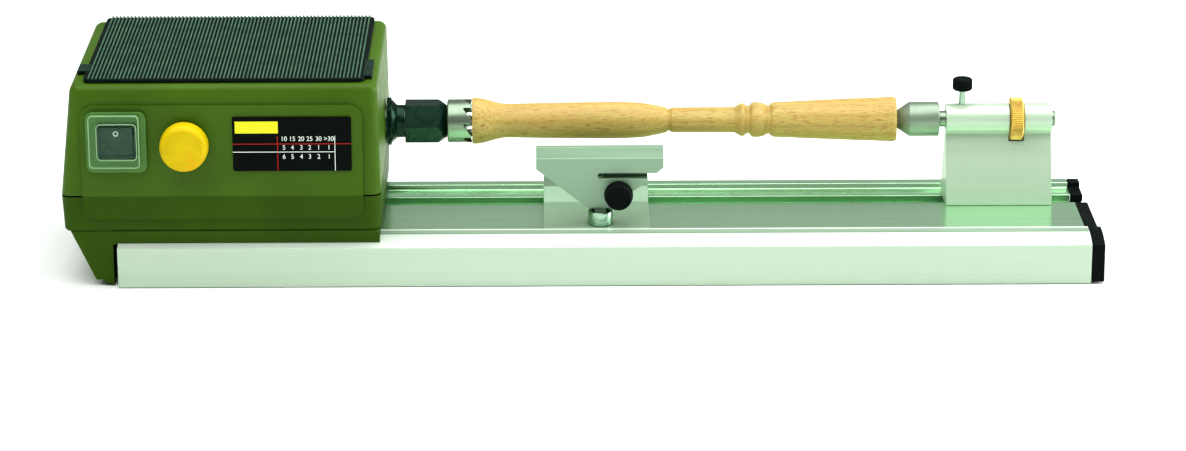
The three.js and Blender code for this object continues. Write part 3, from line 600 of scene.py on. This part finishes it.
def make_switch():
    """The switch: bezel, rocker with its ring mark, and the clear cover with its two raised frames."""
    refined("switch_body", 0.7, MATERIALS["bezel"])
    refined("switch_cover", 0.8)
    refined("switch_rocker", 0.5, MATERIALS["rocker"])
    low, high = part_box("switch_cover")
    outer = (low.x, high.x, low.z, high.z)
    inset_left, inset_right, inset_below, inset_above = 4 * MM, 1.3 * MM, 4.2 * MM, 4.6 * MM
    inner = (low.x + inset_left, high.x - inset_right, low.z + inset_below, high.z - inset_above)
    # the raised frames take the lighter rim colour as painted highlight
    for name, sides, width in (("cover_rim", outer, 0.55 * MM), ("cover_window", inner, 0.45 * MM)):
        mesh = frame_ring(sides, width, low.y - 0.15 * MM, low.y + 0.9 * MM, 2.4 * MM)
        add_piece(name, mesh, "switch_cover", MATERIALS["rim"], replaces=False)
    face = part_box("switch_body")[0].y
    well = frame_ring(inner, 1.6 * MM, face - 0.12 * MM, face + 0.3 * MM, 2.0 * MM)
    add_piece("switch_well", well, "switch_body", MATERIALS["rocker"], replaces=False)
    low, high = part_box("switch_rocker")
    ring_at = Vector(((low.x + high.x) / 2, low.y + 0.9 * MM, high.z - 3.4 * MM))
    ring = lathe([(0, 0.9), (-0.6, 0.9), (-0.6, 1.4), (0, 1.4), (0, 0.9)], "Y", ring_at, 32, 0)
    add_piece("rocker_ring", ring, "switch_rocker", MATERIALS["print_white"], replaces=False)


def frame_ring(sides, width, front, back, corner):
    """A thin rounded-rectangle frame facing the front, with softened edges."""
    left, right, bottom, top = sides
    nudge = 1e-5    # makes the far side of each pair positive and the near side negative

    def loop(inset):
        radius = corner - inset
        points = []
        for x, z, start in ((right, bottom, -90), (right, top, 0), (left, top, 90), (left, bottom, 180)):
            centre_x = x - math.copysign(corner, x - left - nudge)
            centre_z = z - math.copysign(corner, z - bottom - nudge)
            for k in range(5):
                angle = math.radians(start + 22.5 * k)
                points.append((centre_x + radius * math.cos(angle), centre_z + radius * math.sin(angle)))
        return points

    work = bmesh.new()
    rows = [(0, back), (0, front), (width, front), (width, back)]
    rings = [[work.verts.new((x, y, z)) for x, z in loop(inset)] for inset, y in rows]
    for a, b in zip(rings, rings[1:] + rings[:1]):
        for k in range(len(a)):
            n = (k + 1) % len(a)
            work.faces.new([a[k], a[n], b[n], b[k]])
    bmesh.ops.recalc_face_normals(work, faces=work.faces)
    hard_edges = [edge for edge in work.edges if edge.calc_face_angle(0) > 1]
    bmesh.ops.bevel(work, geom=hard_edges, offset=width * 0.3, segments=2, affect="EDGES")
    mesh = bpy.data.meshes.new("frame_ring")
    work.to_mesh(mesh)
    work.free()
    smooth(mesh, 40)
    return mesh


TEXT_SIZE_PER_HEIGHT = 1.38
FIGURE_STROKE = 0.014 * MM
FIGURE_WIDTH = 0.95


def flat_text(name, text, centre, height, material, node):
    """Printed figures of a given height: a thin mesh made from a text curve."""
    curve = bpy.data.curves.new(name, "FONT")
    curve.body = text
    curve.size = height * TEXT_SIZE_PER_HEIGHT
    curve.offset = FIGURE_STROKE
    curve.align_x = "CENTER"
    curve.align_y = "CENTER"
    curve.extrude = 0.02 * MM
    holder = bpy.data.objects.new(name + "_curve", curve)
    bpy.context.scene.collection.objects.link(holder)
    upright = Matrix.Rotation(math.pi / 2, 4, "X")
    holder.matrix_world = Matrix.Translation(centre) @ upright @ Matrix.Diagonal((FIGURE_WIDTH, 1, 1, 1))
    bpy.context.view_layer.update()
    mesh = bpy.data.meshes.new_from_object(holder.evaluated_get(bpy.context.evaluated_depsgraph_get()))
    mesh.transform(holder.matrix_world)
    bpy.data.objects.remove(holder)
    add_piece(name, mesh, node, material, replaces=False)


def make_label():
    """The label: a blank block, coloured rules, and a table of generic numbers.

    Places on it are fractions of its width from the left and of its height from the top.
    """
    refined("label_plate", 0.15)
    low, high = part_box("label_plate")
    width, height = high.x - low.x, high.z - low.z
    face = low.y - 0.06 * MM

    def place(u, v):
        return Vector((low.x + u * width, face, high.z - v * height))

    def bar(name, u0, u1, v0, v1, material):
        a, b = place(u0, v1), place(u1, v0)
        mesh = block(Vector((a.x, face, a.z)), Vector((b.x, face + 0.1 * MM, b.z)))
        add_piece(name, mesh, "label_plate", MATERIALS[material], replaces=False)

    thin_u, thin_v = 0.003, 0.0065
    figure_height = 0.088 * height
    bar("label_block", 0.022, 0.385, 0.079, 0.30, "print_yellow")
    bar("label_red_row", 0.0, 1.0, 0.497 - thin_v, 0.497 + thin_v, "print_red")
    bar("label_red_column", 0.378 - thin_u, 0.378 + thin_u, 0.352, 0.995, "print_red")
    bar("label_white_row", 0.0, 0.858, 0.646 - thin_v, 0.646 + thin_v, "print_white")
    bar("label_white_column", 0.862 - thin_u, 0.862 + thin_u, 0.35, 0.995, "print_white")
    columns = [0.433, 0.504, 0.579, 0.650, 0.725, 0.812]
    rows = [
        (0.405, ["10", "15", "20", "25", "30", ">30"]),
        (0.566, ["5", "4", "3", "2", "1", "1"]),
        (0.735, ["6", "5", "4", "3", "2", "1"]),
    ]
    for row, (v, figures) in enumerate(rows):
        for column, (u, figure) in enumerate(zip(columns, figures)):
            flat_text(f"figure_{row}_{column}", figure, place(u, v), figure_height,
                      MATERIALS["print_white"], "label_plate")


# ---- spindle and blank ----------------------------------------------------

def make_spindle():
    """The spindle's nose and the two pulleys, with their edges rounded."""
    refined("spindle_collar", 0.3)
    refined("collet_nut", 0.35)
    refined("collet", 0.15)
    refined("drive_centre", 0.12, degrees=28)
    refined("spindle_pulley", 0.2)
    refined("motor_pulley", 0.2)


def curve_through(points, steps):
    """Catmull-Rom curve through points, so a turned hollow or swell is smooth."""
    result = []
    for i in range(len(points) - 1):
        p0, p1 = Vector(points[max(i - 1, 0)]), Vector(points[i])
        p2, p3 = Vector(points[i + 1]), Vector(points[min(i + 2, len(points) - 1)])
        for k in range(steps):
            t = k / steps
            result.append(0.5 * (2 * p1 + (p2 - p0) * t + (2 * p0 - 5 * p1 + 4 * p2 - p3) * t * t
                                 + (3 * p1 - p0 - 3 * p2 + p3) * t ** 3))
    result.append(Vector(points[-1]))
    return [tuple(point) for point in result]


def make_blank():
    """The turned blank, as [distance from its left end, radius] in millimetres."""
    start, length, _ = turned_size("workpiece", "X")
    handle = curve_through(
        [(0.4, 12.3), (2.5, 12.45), (5, 12.05), (8, 11.4), (12, 10.25), (16, 9.4), (20, 9.1), (34, 9.4),
         (58, 9.75), (78, 9.85), (90, 9.4), (96.5, 8.45), (102.5, 7.25), (104.6, 6.7)], 4)
    neck = [(105.2, 6.0), (106, 5.7), (106.8, 6.2), (107.5, 6.75), (140.8, 6.9)]
    first_bead = curve_through(
        [(141.6, 7.1), (143.2, 8.0), (144.8, 8.85), (146.2, 8.8), (147.6, 7.8), (149, 7.35)], 4)
    second_bead = curve_through(
        [(149.4, 7.6), (150.4, 8.9), (152, 9.45), (154.8, 9.35), (157.2, 8.75), (158.8, 7.75)], 4)
    taper = curve_through(
        [(160, 7.7), (161.2, 8.8), (163, 9.4), (171, 9.75), (187, 10.5), (203, 11.15), (219, 11.75),
         (226.6, 12.1)], 4)
    profile = [(3.4, 0), (0, 3.2), (0, 12.1)] + handle + neck + first_bead + second_bead + taper
    profile += [(length, 11.7), (length, 3.0), (length - 3, 0)]
    add_piece("turned_blank", lathe(profile, "X", start, 112, 0.18), "workpiece")


# ---- bed, rest and tailstock ----------------------------------------------

def make_bed():
    refined("bed", 0.35)
    refined("bed_end_cap", 0.6)


def make_rest():
    """The tool rest, its base, its socket with the clamp knob, and the base's bolt."""
    refined("tool_rest", 0.3)
    make_slot_backing()
    refined("tool_rest_base", 0.35)
    centre, rise, radius = turned_size("tool_rest_socket", "Z")
    cup = [(0, 0), (0, radius), (rise, radius), (rise, radius - 1.5), (1.4, radius - 1.5), (1.4, 0)]
    add_piece("rest_socket_cup", lathe(cup, "Z", centre, 96, 0.5), "tool_rest_socket",
              MATERIALS["upright_steel"])
    centre, _, radius = turned_size("tool_rest_clamp_knob", "Y")
    knob = [(0.35, 0), (0.2, radius * 0.6), (0, radius - 1.5), (0.9, radius - 0.65), (4.6, radius - 0.55),
            (4.8, radius), (6.9, radius), (7.2, radius - 0.6), (7.2, 2), (18.4, 2), (18.4, 0)]
    add_piece("rest_clamp_grip", lathe(knob, "Y", centre, 180, 0.5, (45, 0.22, radius - 1.2)),
              "tool_rest_clamp_knob")
    socket_bolt("tool_rest_base_bolt", 4.8)


def make_slot_backing():
    """The thin dark strip that closes the tool rest's slot from behind: it stands for the clamping plate,
    coloured dark as painted shade.
    """
    left, right = at_x(95.5), at_x(119.2)
    front, back = at_y(-49.4), at_y(-48.6)
    bottom, top = 48.3 * MM, 52.3 * MM
    strip = block(Vector((left, front, bottom)), Vector((right, back, top)))
    piece = add_piece("rest_slot_backing", strip, "tool_rest", MATERIALS["shaded_metal"], replaces=False)
    add_bevel(piece, 0.2)


def socket_bolt(node, head_mm):
    """A bolt with a round head, a round recess in it, and a plain shank below."""
    centre, rise, radius = turned_size(node, "Z")
    under = rise - head_mm
    profile = [(0, 0), (0, 2.4), (under, 2.4), (under, radius), (rise, radius), (rise, radius * 0.52),
               (rise - 2.2, radius * 0.52), (rise - 2.2, 0)]
    add_piece(node + "_head", lathe(profile, "Z", centre, 72, 0.3), node)


def make_tailstock():
    """The tailstock's body, live centre, quill, feed wheel, clamp screw and bolt."""
    refined("tailstock_body", 0.35)
    start, length, radius = turned_size("live_centre", "X")
    head = [(0, 0), (2.6, 2.2), (2.6, 4.6), (9.4, radius - 0.1), (10.2, radius), (length - 0.4, radius),
            (length, radius - 0.5), (length, 6.3), (length - 13, 6.3), (length - 13, 0)]
    add_piece("live_centre_head", lathe(head, "X", start, 96, 0.25), "live_centre",
              MATERIALS["centre_steel"])
    start, length, radius = turned_size("quill", "X")
    shaft = [(0, 0), (0, 3), (12.9, 3), (12.9, radius), (length - 0.6, radius), (length, radius - 0.6),
             (length, 1.6), (length - 1.2, 0)]
    add_piece("quill_shaft", lathe(shaft, "X", start, 72, 0.2), "quill")
    start, width, radius = turned_size("feed_wheel", "X")
    teeth, tooth_depth = 64, 0.5
    wheel = [(0, 4.6), (0, radius - 1.2), (0.8, radius), (width - 0.8, radius), (width, radius - 1.2),
             (width, 4.6), (0, 4.6)]
    knurled = lathe(wheel, "X", start, teeth * 8, 0.2, (teeth, tooth_depth, radius - 1.1))
    add_piece("knurled_wheel", knurled, "feed_wheel")
    centre, rise, radius = turned_size("quill_clamp_screw", "Z")
    knob_from = rise - 6.6
    grip = [(knob_from + 0.2, 0), (knob_from, radius - 0.8), (knob_from + 0.8, radius),
            (rise - 0.9, radius), (rise - 0.1, radius - 0.8), (rise - 0.5, radius - 1.6), (rise - 0.4, 0)]
    add_piece("quill_clamp_grip", lathe(grip, "Z", centre, 144, 0.3, (36, 0.25, radius - 0.4)),
              "quill_clamp_screw")
    stem = [(0, 0), (0, 1.3), (0.4, 1.7), (knob_from + 0.5, 1.7), (knob_from + 0.5, 0)]
    add_piece("quill_clamp_stem", lathe(stem, "Z", centre, 40, 0.15), "quill_clamp_screw",
              MATERIALS["upright_steel"], replaces=False)
    socket_bolt("tailstock_clamp_bolt", 4.0)


def extra_materials():
    """Materials of the finer pieces, which are no node's slot."""
    MATERIALS["upright_steel"] = turned_steel("upright_steel", (0.36, 0.52, 0.40), 0.24, 1.0, 2)
    # dark aluminium for the slot backing: painted shade
    MATERIALS["shaded_metal"] = drawn_aluminium("shaded_metal", (0.09, 0.15, 0.10), 0.5, metallic=0.2)
    MATERIALS["centre_steel"] = turned_steel("centre_steel", (0.26, 0.33, 0.25), 0.38, 0.55)
    MATERIALS["print_white"] = moulded_plastic("print_white", (0.80, 0.88, 0.82), 0.5, 0.05, 0.04)
    MATERIALS["print_red"] = moulded_plastic("print_red", (0.50, 0.012, 0.010), 0.5, 0.05, 0.08)
    MATERIALS["print_yellow"] = moulded_plastic("print_yellow", (0.78, 0.74, 0.02), 0.5, 0.05, 0.05)
    # lighter green for the cover's raised frames: painted highlight of their edges catching the light
    MATERIALS["rim"] = moulded_plastic("rim", (0.30, 0.50, 0.26), 0.2, 0.02, 0.15, 0.6)
    MATERIALS["bezel"] = moulded_plastic("bezel", (0.075, 0.19, 0.035), 0.22, 0.08)
    MATERIALS["rocker"] = moulded_plastic("rocker", (0.008, 0.036, 0.024), 0.3, 0.02)


def finish_inner_nodes():
    """Every CAD node that still shows gets its slot's node material."""
    for name, node in frame["nodes"].items():
        node.data.materials.clear()
        node.data.materials.append(MATERIALS[SLOT_OF[name]])


# ---- studio ---------------------------------------------------------------

def area_light(name, place, aim, size, energy):
    data = bpy.data.lights.new(name, "AREA")
    data.shape = "RECTANGLE"
    data.size, data.size_y = size
    data.energy = energy
    light = bpy.data.objects.new(name, data)
    light.location = place
    light.rotation_euler = (Vector(aim) - Vector(place)).to_track_quat("-Z", "Y").to_euler()
    bpy.context.scene.collection.objects.link(light)


def make_studio():
    """A pale paper floor, a soft grey-green surround and three area lights."""
    surface = Surface("paper_floor", 0.75, specular=0.1)
    surface.color(surface.ramp(surface.noise(3), (0.3, (0.90, 0.93, 0.91)), (0.7, (0.92, 0.95, 0.93))))
    work = bmesh.new()
    bmesh.ops.create_grid(work, x_segments=4, y_segments=4, size=6)
    mesh = bpy.data.meshes.new("floor")
    work.to_mesh(mesh)
    work.free()
    mesh.materials.append(surface.material)
    floor = bpy.data.objects.new("floor", mesh)
    floor.location.z = -0.4 * MM    # just clear of the feet
    bpy.context.scene.collection.objects.link(floor)
    world = bpy.data.worlds.new("studio")
    world.use_nodes = True
    background = world.node_tree.nodes["Background"]
    background.inputs["Color"].default_value = (0.95, 1.0, 0.97, 1)
    background.inputs["Strength"].default_value = 0.3
    bpy.context.scene.world = world
    area_light("top_light", place=(0.1, -0.2, 1.95), aim=(0, 0, 0.05), size=(3.2, 2.2), energy=64)
    area_light("right_light", place=(1.8, 0.2, 0.55), aim=(0, 0, 0.08), size=(0.8, 0.8), energy=26)
    area_light("front_light", place=(-1.1, -1.3, 1.9), aim=(0, 0, 0.05), size=(1.4, 1.0), energy=7)
    bpy.context.scene.view_settings.view_transform = "Standard"
    bpy.context.scene.view_settings.look = "Medium High Contrast"


extra_materials()
finish_inner_nodes()
make_housing()
make_mat()
make_dial()
make_switch()
make_label()
make_spindle()
make_blank()
make_bed()
make_rest()
make_tailstock()
make_studio()

bpy.context.view_layer.update()
